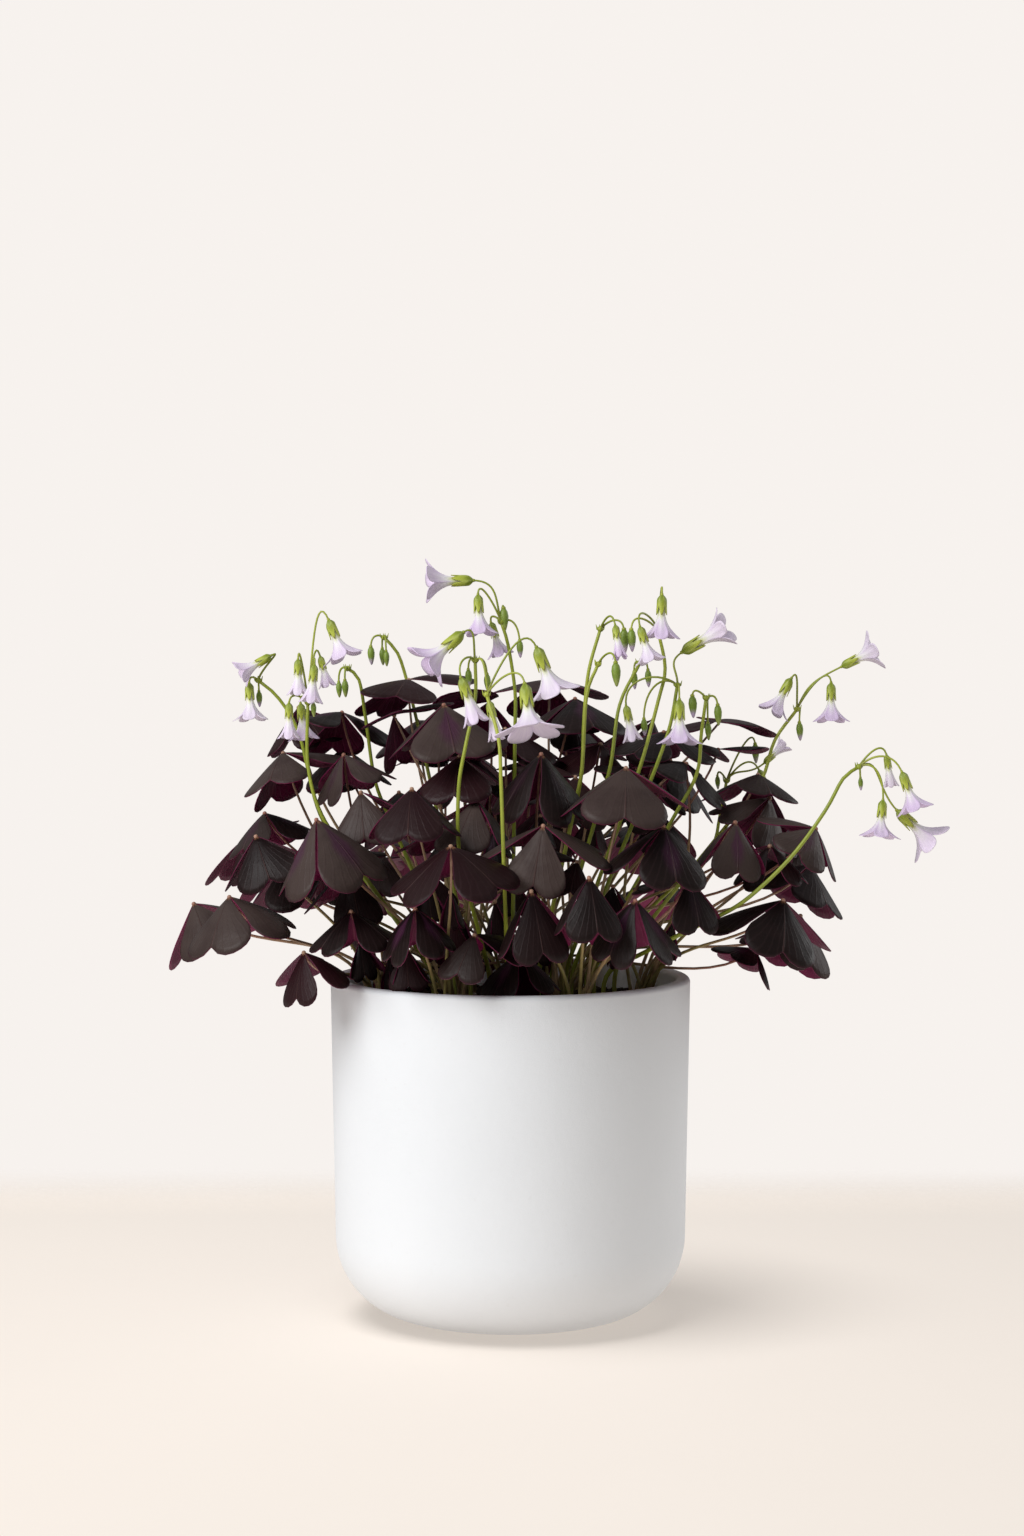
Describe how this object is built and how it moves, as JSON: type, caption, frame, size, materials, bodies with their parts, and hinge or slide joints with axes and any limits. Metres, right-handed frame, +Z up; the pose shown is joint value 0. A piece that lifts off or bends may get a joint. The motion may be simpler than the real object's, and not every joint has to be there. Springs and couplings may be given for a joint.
{
  "type": "purple shamrock in a white pot",
  "caption": "Purple shamrock houseplant: a dome of dark three-part leaves and pale lilac funnel flowers on green stems, in a round white pot with a curved base.",
  "frame": {"origin": "centre of the pot's flat foot, on the surface that it stands on", "axes": "+Z up along the pot's axis; the side that faces the viewer looks along +Y, with +X to the right"},
  "size_m": [0.3389, 0.2608, 0.3364],
  "materials": {
    "pot": "matte",
    "soil": "matte",
    "leaf": "satin",
    "stem": "satin",
    "petal": "satin"
  },
  "bodies": {
    "root": {"corolla_behind_1": "petal", "corolla_behind_2": "petal", "corolla_far_right_1": "petal", "corolla_far_right_2": "petal", "corolla_far_right_3": "petal", "corolla_far_right_4": "petal", "corolla_left_inner_1": "petal", "corolla_left_inner_2": "petal", "corolla_left_inner_3": "petal", "corolla_left_inner_4": "petal", "corolla_left_inner_5": "petal", "corolla_left_inner_6": "petal", "corolla_left_outer_1": "petal", "corolla_left_outer_2": "petal", "corolla_middle_front_1": "petal", "corolla_middle_front_2": "petal", "corolla_middle_low_1": "petal", "corolla_middle_low_2": "petal", "corolla_middle_low_3": "petal", "corolla_middle_tall_1": "petal", "corolla_middle_tall_2": "petal", "corolla_middle_tall_3": "petal", "corolla_right_first_1": "petal", "corolla_right_fourth_1": "petal", "corolla_right_fourth_2": "petal", "corolla_right_fourth_3": "petal", "corolla_right_outer_1": "petal", "corolla_right_outer_2": "petal", "corolla_right_outer_3": "petal", "corolla_right_tall_1": "petal", "corolla_right_tall_2": "petal", "flower_stem_behind": "stem", "flower_stem_far_right": "stem", "flower_stem_left_back": "stem", "flower_stem_left_bent": "stem", "flower_stem_left_inner": "stem", "flower_stem_left_outer": "stem", "flower_stem_middle_front": "stem", "flower_stem_middle_low": "stem", "flower_stem_middle_tall": "stem", "flower_stem_right_first": "stem", "flower_stem_right_fourth": "stem", "flower_stem_right_low": "stem", "flower_stem_right_outer": "stem", "flower_stem_right_second": "stem", "flower_stem_right_tall": "stem", "flower_stem_right_third": "stem", "leaf_clump_01": "leaf", "leaf_clump_02": "leaf", "leaf_clump_03": "leaf", "leaf_clump_04": "leaf", "leaf_clump_05": "leaf", "leaf_clump_06": "leaf", "leaf_clump_07": "leaf", "leaf_clump_08": "leaf", "leaf_clump_09": "leaf", "leaf_clump_10": "leaf", "leaf_clump_11": "leaf", "pot": "pot", "soil": "soil"}
  },
  "joints": []
}
